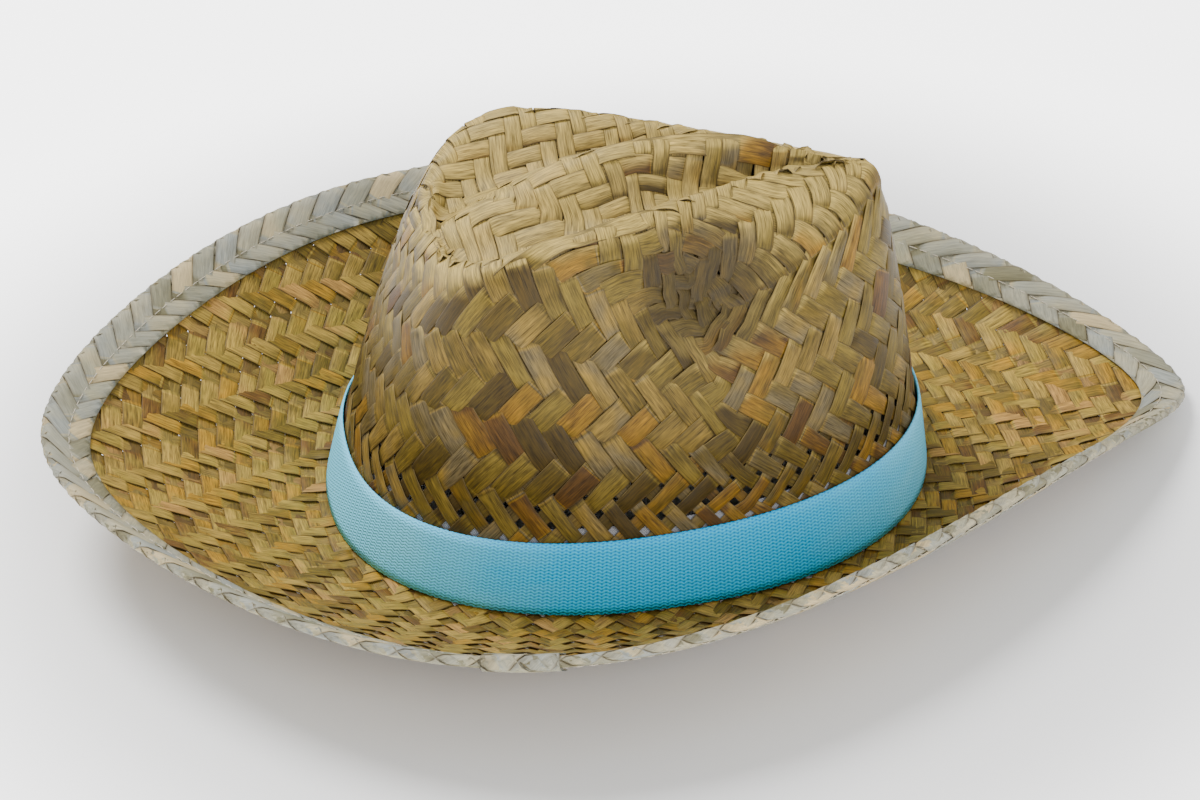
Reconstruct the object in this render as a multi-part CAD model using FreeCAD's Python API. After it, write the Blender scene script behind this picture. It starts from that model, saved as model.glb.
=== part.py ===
"""Straw western hat: woven crown and brim, braided edge binding, lift-off webbing band.

Millimetres. +X is the front of the hat, +Y the wearer's left side, +Z up.
The hat rests on the flat ring of the brim's underside around the head opening, at z = 0.
The hat is symmetric about the XZ plane, so most surfaces are made for one half and mirrored.
An azimuth "phi" of 0 is the front tip, pi is the back.
"""
import FreeCAD
import Part
import math
import os

V = FreeCAD.Vector

# ---- straw sheet -------------------------------------------------------------------------
STRAW_THICK = 1.4          # two crossing straw strips
CENTRE_X = -2.6            # head oval centre, so that the overall box is centred on the origin

# ---- head oval (outside of the crown at its foot), a superellipse ------------------------
NECK_HALF_LENGTH = 104.0
NECK_HALF_WIDTH = 84.0
NECK_EXPONENT = 2.2
FLAT_RING = 6.0            # flat part of the brim outside the neck

# ---- crown -------------------------------------------------------------------------------
RIM_CENTRE_X = 11.5        # teardrop outline of the crown's top, middle of its length
RIM_HALF_LENGTH = 73.5
RIM_WIDTH = 70.0           # amplitude of the teardrop's half width
RIM_HEIGHT = 124.0         # highest point of the two side ridges
FRONT_DROP = 12.0          # how much lower the ridges end at the front peak
BACK_DROP = 20.0           # how much lower the rim is at the middle of the back
SPINE_BACK_Z = 104.0       # middle ridge: height at its back end
SPINE_RISE = 8.0           # from the back end to the front peak
SPINE_HUMP = 22.0          # hump of the middle ridge above that line
CREASE_DEPTH = 13.0        # depth of the two valleys beside the middle ridge
DENT_DEPTH = 7.0           # pinch in each side wall
DENT_X, DENT_Z = 16.0, 97.0
DENT_LENGTH, DENT_HEIGHT = 22.0, 16.0
TOP_SHARE = 0.36           # share of the crown patch taken by the top

# ---- brim outline: cosine series of the half width and of the edge height ----------------
TIP_CENTRE_X = 2.6
OUTLINE_HALF_LENGTH = 200.0
OUTLINE_WIDTH = (122.5, -31.0, -28.3, 6.3, -1.8)
EDGE_HEIGHT = (34.0, -14.0, -8.6, -5.0, -1.4)
CURL_BACK = 1.35           # exponent of the brim's rise at the back
CURL_FRONT = 0.60          # extra exponent toward the front

# ---- braided binding folded over the brim's edge -----------------------------------------
BRAID_THICK = 1.1
BRAID_FLANGE = 15.0
BRAID_GAP = 0.1
WIRE_WIDTH = 1.2           # flat wire lying in the fold
WIRE_THICK = 0.9
BRIM_SETBACK = 1.2         # the straw sheet stops this far inside the fold's centre line
STITCH_INSET = 7.5         # stitch line, measured from the fold
THREAD_WIDTH = 0.5         # the threads are pressed flat by the stitching
THREAD_THICK = 0.4
JOIN_PHI = math.radians(-109.0)
JOIN_LENGTH = 24.0
JOIN_THICK = 0.6

# ---- hatband -----------------------------------------------------------------------------
BAND_WIDTH = 25.0
BAND_THICK = 1.2
BAND_CLEAR = 0.4
BAND_Z0 = 1.8
OVERLAP_PHI = math.radians(100.0)
OVERLAP_LENGTH = 30.0
BARTACK_INSET = 4.0

# ---- sweatband inside the crown ----------------------------------------------------------
SWEAT_THICK = 0.8
SWEAT_GAP = 0.3
SWEAT_Z0 = 2.0
SWEAT_HEIGHT = 28.0
SWEAT_STITCH_Z = 5.0

# ---- sampling ----------------------------------------------------------------------------
CROWN_GRID = 56
RING_STEPS = 72


def cosine_series(terms, phi):
    return sum(a * math.cos(k * phi) for k, a in enumerate(terms))


def neck(phi, grow=0.0):
    """Point of the head oval, the oval's half axes grown by "grow"."""
    c, s = math.cos(phi), math.sin(phi)
    r = (abs(c) ** NECK_EXPONENT + abs(s) ** NECK_EXPONENT) ** (-1.0 / NECK_EXPONENT)
    return (NECK_HALF_LENGTH + grow) * r * c, (NECK_HALF_WIDTH + grow) * r * s


def rim_half_width(phi):
    h = abs(math.sin(phi / 2.0))
    return RIM_WIDTH * math.sin(phi) * h ** 2.5 * (1.0 + 0.35 * h ** 12)


def rim_z(phi):
    front = (1.0 + math.cos(phi)) / 2.0
    back = (1.0 - math.cos(phi)) / 2.0
    return RIM_HEIGHT - FRONT_DROP * front ** 2.5 - BACK_DROP * back ** 10


def rim(phi):
    return RIM_CENTRE_X + RIM_HALF_LENGTH * math.cos(phi), rim_half_width(phi), rim_z(phi)


def spine_share(x):
    """0 at the back end of the crown's top, 1 at the front peak."""
    share = (x - RIM_CENTRE_X + RIM_HALF_LENGTH) / (2.0 * RIM_HALF_LENGTH)
    return min(max(share, 0.0), 1.0)


def spine_z(x):
    s = spine_share(x)
    return SPINE_BACK_Z + SPINE_RISE * s + SPINE_HUMP * math.sin(math.pi * s ** 0.9) ** 1.1


def top_z(x, y):
    """Creased top: middle ridge, a valley each side, side ridges at the rim."""
    phi = math.acos(min(max((x - RIM_CENTRE_X) / RIM_HALF_LENGTH, -1.0), 1.0))
    half = max(rim_half_width(phi), 1e-6)
    w = min(abs(y) / half, 1.0)
    lift = w * w * (3.0 - 2.0 * w)
    depth = CREASE_DEPTH * max(math.sin(math.pi * spine_share(x) ** 0.55), 0.0) ** 0.9
    z = spine_z(x)
    return z + (rim_z(phi) - z) * lift - depth * math.sin(math.pi * w) ** 2


def wall_exponent(phi):
    return 0.55 + 0.13 * ((1.0 - math.cos(phi)) / 2.0) ** 3


def wall_point(phi, drop):
    """Crown wall; drop is 0 at the rim and 1 at the foot."""
    xr, yr, zr = rim(phi)
    xn, yn = neck(phi)
    run = drop ** wall_exponent(phi)
    x = xr + (xn - xr) * run
    y = yr + (yn - yr) * run
    z = STRAW_THICK + (zr - STRAW_THICK) * (1.0 - drop)
    dent = DENT_DEPTH * math.exp(-((x - DENT_X) / DENT_LENGTH) ** 2
                                 - ((z - DENT_Z) / DENT_HEIGHT) ** 2)
    y -= math.copysign(min(dent, abs(y)), y)
    return V(x, y, z)


def top_point(phi, t):
    """Crown top; t is 0 in the middle and 1 at the rim."""
    xr, yr, _ = rim(phi)
    mid = 5.0
    lin = (mid + 60.0 * t * math.cos(phi), 30.0 * t * math.sin(phi))
    tear = (mid + (xr - mid) * t, yr * t)
    w = t * t
    x = lin[0] * (1.0 - w) + tear[0] * w
    y = lin[1] * (1.0 - w) + tear[1] * w
    return V(x, y, top_z(x, y))


def crown_point(a, b):
    """Crown from square coordinates -1..1: the square is rounded to a disc first."""
    x = a * math.sqrt(1.0 - b * b / 2.0)
    y = b * math.sqrt(1.0 - a * a / 2.0)
    r = math.hypot(x, y)
    phi = math.atan2(y, x)
    if r <= TOP_SHARE:
        return top_point(phi, r / TOP_SHARE)
    q = min((r - TOP_SHARE) / (1.0 - TOP_SHARE), 1.0)
    return wall_point(phi, q ** 1.5)


def offset_point(f, a, b, distance, step=0.012):
    """Point f(a, b) moved along the surface normal found by differences."""
    a0, a1 = max(a - step, -1.0), min(a + step, 1.0)
    b0, b1 = max(b - step, -1.0), min(b + step, 1.0)
    da = f(a1, b) - f(a0, b)
    db = f(a, b1) - f(a, b0)
    n = da.cross(db)
    n.normalize()
    return f(a, b) + n * distance


def shifted(shape):
    shape.translate(V(CENTRE_X, 0, 0))
    return shape


def curve_through(points):
    """Cubic spline through the points at evenly spaced parameters."""
    curve = Part.BSplineCurve()
    last = len(points) - 1
    curve.interpolate(Points=points, Parameters=[k / last for k in range(last + 1)])
    return curve


def surface(grid):
    """Cubic surface through a grid of points, exact along all four borders."""
    rows = [curve_through(row) for row in grid]
    across = rows[0]
    row_poles = [row.getPoles() for row in rows]
    columns = [curve_through([poles[k] for poles in row_poles])
               for k in range(len(row_poles[0]))]
    along = columns[0]
    column_poles = [column.getPoles() for column in columns]
    poles = [[column[i] for column in column_poles] for i in range(len(column_poles[0]))]
    s = Part.BSplineSurface()
    s.buildFromPolesMultsKnots(poles, along.getMultiplicities(), across.getMultiplicities(),
                               along.getKnots(), across.getKnots(), False, False, 3, 3)
    return s


def solid_from(faces, tolerance=0.01):
    shell = Part.makeCompound(faces)
    shell.sewShape(tolerance)
    if shell.ShapeType == "Compound":
        shell = shell.Shells[0]
    solid = Part.makeSolid(shell)
    if solid.Volume < 0:
        solid.reverse()
    return solid


def ring_solid(outer, inner, mirrored=True):
    """Solid between two surfaces given as functions (i share, j share) -> point.

    mirrored: i runs from the front to the back on one side and the half is mirrored.
    Otherwise the piece is an open segment and gets end faces.
    """
    grids = []
    for f in (outer, inner):
        n, m = f.steps
        grids.append([[f(i / n, j / m) for j in range(m + 1)] for i in range(n + 1)])
    so, si = surface(grids[0]), surface(grids[1])
    uo0, uo1, vo0, vo1 = so.bounds()
    ui0, ui1, vi0, vi1 = si.bounds()
    faces = [so.toShape(), si.toShape()]
    for vo, vi in ((vo0, vi0), (vo1, vi1)):
        eo, ei = so.vIso(vo).toShape(), si.vIso(vi).toShape()
        if eo.distToShape(ei)[0] > 1e-3:
            faces.append(Part.makeRuledSurface(eo, ei))
    if mirrored:
        faces += [f.mirror(V(0, 0, 0), V(0, 1, 0)) for f in faces]
    else:
        for uo, ui in ((uo0, ui0), (uo1, ui1)):
            faces.append(Part.makeRuledSurface(so.uIso(uo).toShape(), si.uIso(ui).toShape()))
    return solid_from(faces)


def sampled(f, n, m):
    f.steps = (n, m)
    return f


# ---- brim ----------------------------------------------------------------------------------
def outline(phi):
    x = TIP_CENTRE_X + OUTLINE_HALF_LENGTH * math.cos(phi)
    y = cosine_series(OUTLINE_WIDTH, phi) * math.sin(phi)
    return x, y, cosine_series(EDGE_HEIGHT, phi)


def brim_mid(phi, r):
    """Middle of the straw sheet; r is 0 at the flat ring and 1 at the fold's centre."""
    xn, yn = neck(phi, FLAT_RING)
    xo, yo, zo = outline(phi)
    curl = CURL_BACK + CURL_FRONT * ((1.0 + math.cos(phi)) / 2.0) ** 2
    z = STRAW_THICK / 2.0 + (zo - STRAW_THICK / 2.0) * max(r, 0.0) ** curl
    return V(xn + (xo - xn) * r, yn + (yo - yn) * r, z)


def brim_width(phi):
    return (brim_mid(phi, 1.0) - brim_mid(phi, 0.0)).Length


def brim_frame(phi, r):
    """Point, outward direction along the profile and upward normal of the brim."""
    step = 0.01
    radial = brim_mid(phi, r + step) - brim_mid(phi, max(r - step, 0.0))
    around = brim_mid(phi + step, r) - brim_mid(phi - step, r)
    normal = radial.cross(around)
    normal.normalize()
    if abs(math.sin(phi)) < 1e-9:
        normal.y = 0.0
    if r <= 0.0:
        normal = V(0, 0, 1)
    radial.normalize()
    return brim_mid(phi, r), radial, normal


def brim_layer(height):
    """Surface of the brim at a height above the middle of the sheet, flat ring excluded."""
    def f(i, j):
        phi = math.pi * i
        last = 1.0 - BRIM_SETBACK / brim_width(phi)
        p, _, n = brim_frame(phi, last * j)
        return p + n * height
    return sampled(f, RING_STEPS, 12)


def edge_wrap(reach, half_gap, phi_from=0.0, phi_to=math.pi, flange=None):
    """U section around the brim's edge: along the top, round the fold, back below."""
    flange = BRAID_FLANGE if flange is None else flange
    stations = [("top", 1.0), ("top", 0.66), ("top", 0.33), ("top", 0.1)]
    stations += [("fold", math.radians(a)) for a in (90, 60, 30, 0, -30, -60, -90)]
    stations += [("under", 0.1), ("under", 0.33), ("under", 0.66), ("under", 1.0)]

    def f(i, j):
        phi = phi_from + (phi_to - phi_from) * i
        kind, value = stations[int(round(j * (len(stations) - 1)))]
        width = brim_width(phi)
        if kind == "fold":
            p, radial, n = brim_frame(phi, 1.0)
            return p + radial * (reach * math.cos(value)) + n * (half_gap * math.sin(value))
        p, _, n = brim_frame(phi, 1.0 - flange * value / width)
        return p + n * (half_gap if kind == "top" else -half_gap)
    return sampled(f, RING_STEPS if phi_from == 0.0 else 8, len(stations) - 1)


def flat_line(centre, width, thick):
    """Closed flat wire or thread; "centre" gives its middle, width and thickness directions."""
    def side(sign):
        def f(i, j):
            p, across, up = centre(math.pi * i)
            return p + across * (width * (j - 0.5)) + up * (sign * thick / 2.0)
        return sampled(f, RING_STEPS, 3)
    return ring_solid(side(1.0), side(-1.0))


def make_brim():
    top, under = brim_layer(STRAW_THICK / 2.0), brim_layer(-STRAW_THICK / 2.0)
    surfaces = []
    for f in (top, under):
        n, m = f.steps
        surfaces.append(surface([[f(i / n, j / m) for j in range(m + 1)]
                                 for i in range(n + 1)]))
    faces = [s.toShape() for s in surfaces]
    bounds = [s.bounds() for s in surfaces]
    outer = [s.vIso(b[3]).toShape() for s, b in zip(surfaces, bounds)]
    inner = [s.vIso(b[2]).toShape() for s, b in zip(surfaces, bounds)]
    faces.append(Part.makeRuledSurface(outer[0], outer[1]))
    hole = []
    for z, edge in zip((STRAW_THICK, 0.0), inner):
        points = [V(*neck(math.pi * i / RING_STEPS, -STRAW_THICK), z)
                  for i in range(RING_STEPS + 1)]
        rail = curve_through(points).toShape()
        hole.append(rail)
        ends = [edge.Vertexes[0].Point, edge.Vertexes[-1].Point]
        seams = [Part.makeLine(p, q) for p, q in zip(ends, (points[0], points[-1]))]
        wire = Part.Wire(Part.__sortEdges__([edge, seams[1], rail, seams[0]]))
        faces.append(Part.Face(wire))
    faces.append(Part.makeRuledSurface(hole[0], hole[1]))
    faces += [f.mirror(V(0, 0, 0), V(0, 1, 0)) for f in faces]
    return solid_from(faces)


def make_crown():
    n = CROWN_GRID
    share = [-1.0 + 2.0 * i / n for i in range(n + 1)]
    outer = [[crown_point(a, b) for b in share] for a in share]
    inner = []
    for a in share:
        row = []
        for b in share:
            if max(abs(a), abs(b)) > 1.0 - 1e-9:
                x = a * math.sqrt(1.0 - b * b / 2.0)
                y = b * math.sqrt(1.0 - a * a / 2.0)
                px, py = neck(math.atan2(y, x), -STRAW_THICK)
                row.append(V(px, py, STRAW_THICK))
            else:
                row.append(offset_point(crown_point, a, b, -STRAW_THICK))
        inner.append(row)
    skins = [surface(grid) for grid in (outer, inner)]
    faces = [skin.toShape() for skin in skins]
    u0, u1, v0, v1 = skins[0].bounds()
    for border in (lambda s: s.uIso(u0), lambda s: s.uIso(u1),
                   lambda s: s.vIso(v0), lambda s: s.vIso(v1)):
        faces.append(Part.makeRuledSurface(*[border(s).toShape() for s in skins]))
    return solid_from(faces)


def wall_layer(phi, z, grow):
    """Crown wall at a height z, moved out in plan by "grow"."""
    def plan(angle):
        zr = rim_z(angle)
        drop = 1.0 - (z - STRAW_THICK) / (zr - STRAW_THICK)
        return wall_point(angle, drop)
    step = 0.01
    along = plan(phi + step) - plan(phi - step)
    out = V(along.y, -along.x, 0)
    if abs(math.sin(phi)) < 1e-9:
        out.y = 0.0
    out.normalize()
    return plan(phi) + out * grow, out


def wall_sleeve(z0, z1, grow, phi_from=0.0, phi_to=math.pi):
    def f(i, j):
        return wall_layer(phi_from + (phi_to - phi_from) * i, z0 + (z1 - z0) * j, grow)[0]
    return sampled(f, RING_STEPS if phi_from == 0.0 else 8, 4)


def sleeve_solid(z0, z1, inner, thick):
    return ring_solid(wall_sleeve(z0, z1, inner + thick), wall_sleeve(z0, z1, inner))


def make_band_overlap():
    span = OVERLAP_LENGTH / NECK_HALF_WIDTH
    a0, a1 = OVERLAP_PHI - span / 2.0, OVERLAP_PHI + span / 2.0
    inner = BAND_CLEAR + BAND_THICK + 0.05
    z0, z1 = BAND_Z0 + 0.3, BAND_Z0 + BAND_WIDTH - 0.3
    return ring_solid(wall_sleeve(z0, z1, inner + BAND_THICK, a0, a1),
                      wall_sleeve(z0, z1, inner, a0, a1), mirrored=False)


def make_band_stitches():
    """Two bars of thread standing up the overlap of the band."""
    span = OVERLAP_LENGTH / NECK_HALF_WIDTH
    inset = BARTACK_INSET / NECK_HALF_WIDTH
    grow = BAND_CLEAR + 2.0 * BAND_THICK + 0.1
    bars = []
    for phi in (OVERLAP_PHI - span / 2.0 + inset, OVERLAP_PHI + span / 2.0 - inset):
        low, out = wall_layer(phi, BAND_Z0 + 2.5, grow + 0.35)
        high, _ = wall_layer(phi, BAND_Z0 + BAND_WIDTH - 2.5, grow + 0.35)
        along = high - low
        bars.append(Part.makeCylinder(0.3, along.Length, low, along))
    return Part.makeCompound(bars)


def make_binding_join():
    half_span = JOIN_LENGTH / 2.0 / 160.0
    gap = STRAW_THICK / 2.0 + BRAID_GAP + BRAID_THICK + THREAD_THICK + 0.1
    a0, a1 = JOIN_PHI - half_span, JOIN_PHI + half_span
    return ring_solid(edge_wrap(gap + JOIN_THICK, gap + JOIN_THICK, a0, a1),
                      edge_wrap(gap, gap, a0, a1), mirrored=False)


def edge_thread(side):
    lift = STRAW_THICK / 2.0 + BRAID_GAP + BRAID_THICK + THREAD_THICK / 2.0 + 0.03

    def centre(phi):
        p, radial, n = brim_frame(phi, 1.0 - STITCH_INSET / brim_width(phi))
        return p + n * (side * lift), radial, n
    return flat_line(centre, THREAD_WIDTH, THREAD_THICK)


def make_wire():
    def centre(phi):
        return brim_frame(phi, 1.0)
    return flat_line(centre, WIRE_WIDTH, WIRE_THICK)


def make_sweatband_thread():
    grow = -STRAW_THICK - SWEAT_GAP - SWEAT_THICK - THREAD_THICK / 2.0 - 0.1

    def centre(phi):
        p, out = wall_layer(phi, SWEAT_STITCH_Z, grow)
        return p, V(0, 0, 1), out
    return flat_line(centre, THREAD_WIDTH, THREAD_THICK)


half_sheet = STRAW_THICK / 2.0 + BRAID_GAP
sweat_inner = -STRAW_THICK - SWEAT_GAP - SWEAT_THICK
parts = {
    "crown_body": make_crown(),
    "brim_body": make_brim(),
    "brim_edge_binding": ring_solid(edge_wrap(half_sheet + BRAID_THICK,
                                              half_sheet + BRAID_THICK),
                                    edge_wrap(half_sheet, half_sheet)),
    "binding_join": make_binding_join(),
    "binding_thread_top": edge_thread(1.0),
    "binding_thread_under": edge_thread(-1.0),
    "brim_wire": make_wire(),
    "hatband": sleeve_solid(BAND_Z0, BAND_Z0 + BAND_WIDTH, BAND_CLEAR, BAND_THICK),
    "hatband_overlap": make_band_overlap(),
    "hatband_stitches": make_band_stitches(),
    "sweatband": sleeve_solid(SWEAT_Z0, SWEAT_Z0 + SWEAT_HEIGHT, sweat_inner, SWEAT_THICK),
    "sweatband_thread": make_sweatband_thread(),
}

os.makedirs("parts", exist_ok=True)
for node, shape in parts.items():
    shifted(shape)
    shape.exportStep("parts/%s.step" % node)
    box = shape.BoundBox
    print("%-22s valid %s solids %d volume %.0f  x %.1f..%.1f y %.1f..%.1f z %.1f..%.1f" % (
        node, shape.isValid(), len(shape.Solids), shape.Volume,
        box.XMin, box.XMax, box.YMin, box.YMax, box.ZMin, box.ZMax))
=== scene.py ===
"""Looks of a woven straw western hat: strips laid over the shape of the CAD part.

Lengths are millimetres until a mesh is made. +X is the front tip, +Y the wearer's left.
The shape formulas repeat the part's, so every strip lies in the sheet of its CAD node.
"""
import math

import bpy
import numpy as np
from mathutils import Matrix, Vector


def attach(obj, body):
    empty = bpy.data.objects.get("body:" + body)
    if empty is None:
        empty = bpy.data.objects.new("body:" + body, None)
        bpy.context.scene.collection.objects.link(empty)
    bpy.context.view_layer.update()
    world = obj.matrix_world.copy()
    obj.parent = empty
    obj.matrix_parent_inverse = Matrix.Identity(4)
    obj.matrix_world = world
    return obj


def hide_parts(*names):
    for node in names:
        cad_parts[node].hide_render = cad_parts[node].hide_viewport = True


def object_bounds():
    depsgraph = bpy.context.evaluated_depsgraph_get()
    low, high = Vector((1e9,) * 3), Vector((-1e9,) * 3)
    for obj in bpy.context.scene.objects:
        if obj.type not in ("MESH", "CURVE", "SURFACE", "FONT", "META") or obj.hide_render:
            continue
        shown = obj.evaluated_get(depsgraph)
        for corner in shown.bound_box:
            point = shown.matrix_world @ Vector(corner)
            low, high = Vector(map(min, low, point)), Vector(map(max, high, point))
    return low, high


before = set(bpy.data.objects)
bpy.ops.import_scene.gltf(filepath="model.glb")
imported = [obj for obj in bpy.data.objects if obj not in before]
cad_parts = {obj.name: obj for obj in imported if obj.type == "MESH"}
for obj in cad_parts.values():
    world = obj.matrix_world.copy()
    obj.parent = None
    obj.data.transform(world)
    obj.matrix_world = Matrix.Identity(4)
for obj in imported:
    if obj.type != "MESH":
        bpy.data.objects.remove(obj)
first_bounds = [list(corner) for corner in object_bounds()]

MM = 0.001
PI = math.pi
rng = np.random.default_rng(11)

# ---- shape of the hat, as in the part ----------------------------------------------------
STRAW_THICK = 1.4
CENTRE_X = -2.6
NECK = (104.0, 84.0, 2.2)
FLAT_RING = 6.0
RIM_CENTRE_X, RIM_HALF_LENGTH, RIM_WIDTH = 11.5, 73.5, 70.0
RIM_HEIGHT, FRONT_DROP, BACK_DROP = 124.0, 12.0, 20.0
SPINE_BACK_Z, SPINE_RISE, SPINE_HUMP, CREASE_DEPTH = 104.0, 8.0, 22.0, 13.0
DENT_DEPTH, DENT_X, DENT_Z, DENT_LENGTH, DENT_HEIGHT = 7.0, 16.0, 97.0, 22.0, 16.0
TOP_CENTRE_X = 5.0
TIP_CENTRE_X, OUTLINE_HALF_LENGTH = 2.6, 200.0
OUTLINE_WIDTH = (122.5, -31.0, -28.3, 6.3, -1.8)
EDGE_HEIGHT = (34.0, -14.0, -8.6, -5.0, -1.4)
CURL_BACK, CURL_FRONT = 1.35, 0.60
BRAID_THICK, BRAID_FLANGE, BRAID_GAP = 1.1, 15.0, 0.1
STITCH_INSET = 7.5
JOIN_PHI, JOIN_LENGTH = math.radians(-109.0), 24.0
BAND_WIDTH, BAND_THICK, BAND_CLEAR, BAND_Z0 = 25.0, 1.2, 0.4, 1.8
OVERLAP_PHI, OVERLAP_LENGTH, BARTACK_INSET = math.radians(100.0), 30.0, 4.0
SWEAT_THICK, SWEAT_GAP, SWEAT_Z0, SWEAT_HEIGHT = 0.8, 0.3, 2.0, 28.0
SWEAT_STITCH_Z = 5.0

# ---- straw -------------------------------------------------------------------------------
CROWN_HALF = 14              # strips each side of the middle of the crown's start square
CROWN_REACH = 85.0           # half diagonal of that square
SQUARE_X, SQUARE_Y = 12.0, 25.0
WALL_ROWS = 12.5             # rows of crossings from the square's edge to the foot
BRIM_PITCH = 0.248           # in square roots of millimetres
STRIP_THICK = 0.30
STRIP_RISE = 0.34            # how far a strip rises and dips at a crossing
SAMPLES = 4                  # cross sections per crossing
CRUMPLES = (((19.5, -42.5, 95.0), 19.0),)    # creased places and their reach
LOWEST = 0.25                # no straw below the ring the hat rests on
MIN_STEP = 0.15              # closer cross sections are left out
STRIP_WANDER, STRIP_TILT, TILT_NOISE, LIFT_NOISE = 0.16, 0.03, 0.03, 0.03
CRUMPLE_TILT, CRUMPLE_LIFT, CRUMPLE_WANDER = 0.16, 0.30, 0.7
STRIP_SAG = 0.03             # how far a strip's edges lie below its middle
FOOT_GAPS, FOOT_GAP_TOP, FOOT_GAP_BLEND = 0.22, 50.0, 16.0   # narrower strips at the foot
BRIM_REACH = 208.0           # past the brim's farthest point
BRIM_RISE = 1.15             # rise on the brim, as a share of the crown's
RIM_INSET, NECK_OVERLAP = 2.5, 0.8   # where the brim's strips end
BRAID_ROW = 9.2              # height of a herringbone row of the edge braid
WEFT_PERIOD, WEFT_ROW = 2.7, 1.15    # zigzag weft of the webbing
BRAID_PITCH = 12.6           # along the edge, from one braid strip to the next


# ---- surfaces ----------------------------------------------------------------------------
def cosine_series(terms, phi):
    return sum(a * np.cos(k * phi) for k, a in enumerate(terms))


def unit(v):
    return v / np.maximum(np.linalg.norm(v, axis=-1, keepdims=True), 1e-12)


def run_length(points):
    """Length along a line of points, from 0 at its first."""
    return np.concatenate([[0], np.cumsum(np.linalg.norm(np.diff(points, axis=0), axis=1))])


def smooth(x):
    x = np.clip(x, 0.0, 1.0)
    return x * x * (3.0 - 2.0 * x)


def neck(phi, grow=0.0):
    """Plan of the head oval where crown and brim meet."""
    c, s = np.cos(phi), np.sin(phi)
    r = (np.abs(c) ** NECK[2] + np.abs(s) ** NECK[2]) ** (-1.0 / NECK[2])
    return (NECK[0] + grow) * r * c, (NECK[1] + grow) * r * s


def rim_half_width(phi):
    """Half width of the crown's upper edge."""
    h = np.abs(np.sin(phi / 2.0))
    return RIM_WIDTH * np.sin(phi) * h ** 2.5 * (1.0 + 0.35 * h ** 12)


def rim_z(phi):
    """Height of the crown's upper edge."""
    front = (1.0 + np.cos(phi)) / 2.0
    return RIM_HEIGHT - FRONT_DROP * front ** 2.5 - BACK_DROP * (1.0 - front) ** 10


def top_z(x, y):
    """Height of the creased top."""
    phi = np.arccos(np.clip((x - RIM_CENTRE_X) / RIM_HALF_LENGTH, -1.0, 1.0))
    half = np.maximum(rim_half_width(phi), 1e-6)
    w = np.minimum(np.abs(y) / half, 1.0)
    share = np.clip((x - RIM_CENTRE_X + RIM_HALF_LENGTH) / (2.0 * RIM_HALF_LENGTH), 0, 1)
    hump = np.maximum(np.sin(PI * share ** 0.9), 0.0) ** 1.1
    z = SPINE_BACK_Z + SPINE_RISE * share + SPINE_HUMP * hump
    depth = CREASE_DEPTH * np.maximum(np.sin(PI * share ** 0.55), 0.0) ** 0.9
    return z + (rim_z(phi) - z) * smooth(w) - depth * np.sin(PI * w) ** 2


def wall_point(phi, drop):
    xr, yr, zr = RIM_CENTRE_X + RIM_HALF_LENGTH * np.cos(phi), rim_half_width(phi), rim_z(phi)
    xn, yn = neck(phi)
    run = drop ** (0.55 + 0.13 * ((1.0 - np.cos(phi)) / 2.0) ** 3)
    x = xr + (xn - xr) * run
    y = yr + (yn - yr) * run
    z = STRAW_THICK + (zr - STRAW_THICK) * (1.0 - drop)
    dent = DENT_DEPTH * np.exp(-((x - DENT_X) / DENT_LENGTH) ** 2
                               - ((z - DENT_Z) / DENT_HEIGHT) ** 2)
    y = y - np.copysign(np.minimum(dent, np.abs(y)), y)
    return np.stack(np.broadcast_arrays(x, y, z), -1)


def top_point(phi, t):
    xr, yr = RIM_CENTRE_X + RIM_HALF_LENGTH * np.cos(phi), rim_half_width(phi)
    w = t * t
    x = (TOP_CENTRE_X + 60.0 * t * np.cos(phi)) * (1 - w) + w * (
        TOP_CENTRE_X + (xr - TOP_CENTRE_X) * t)
    y = 30.0 * t * np.sin(phi) * (1 - w) + yr * t * w
    return np.stack(np.broadcast_arrays(x, y, top_z(x, y)), -1)


def outline(phi):
    """Point of the brim's edge."""
    return (TIP_CENTRE_X + OUTLINE_HALF_LENGTH * np.cos(phi),
            cosine_series(OUTLINE_WIDTH, phi) * np.sin(phi),
            cosine_series(EDGE_HEIGHT, phi))


def brim_mid(phi, r):
    xn, yn = neck(phi, FLAT_RING)
    xo, yo, zo = outline(phi)
    curl = CURL_BACK + CURL_FRONT * ((1.0 + np.cos(phi)) / 2.0) ** 2
    half = STRAW_THICK / 2.0
    z = half + (zo - half) * np.maximum(r, 0.0) ** curl
    return np.stack(np.broadcast_arrays(xn + (xo - xn) * r, yn + (yo - yn) * r, z), -1)


def brim_width(phi):
    return np.linalg.norm(brim_mid(phi, 1.0) - brim_mid(phi, 0.0), axis=-1)


def brim_frame(phi, r):
    """Point, outward direction and upward normal of the brim's middle surface."""
    radial = brim_mid(phi, r + 0.01) - brim_mid(phi, np.maximum(r - 0.01, 0.0))
    around = brim_mid(phi + 0.01, r) - brim_mid(phi - 0.01, r)
    return brim_mid(phi, r), unit(radial), unit(np.cross(radial, around))


def wall_layer(phi, z, grow):
    """Crown wall at a height, moved out in plan; also the outward direction."""
    def plan(angle):
        return wall_point(angle, 1.0 - (z - STRAW_THICK) / (rim_z(angle) - STRAW_THICK))
    along = plan(phi + 0.01) - plan(phi - 0.01)
    out = unit(np.stack([along[..., 1], -along[..., 0], 0.0 * along[..., 0]], -1))
    return plan(phi) + out * np.asarray(grow)[..., None], out


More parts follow.
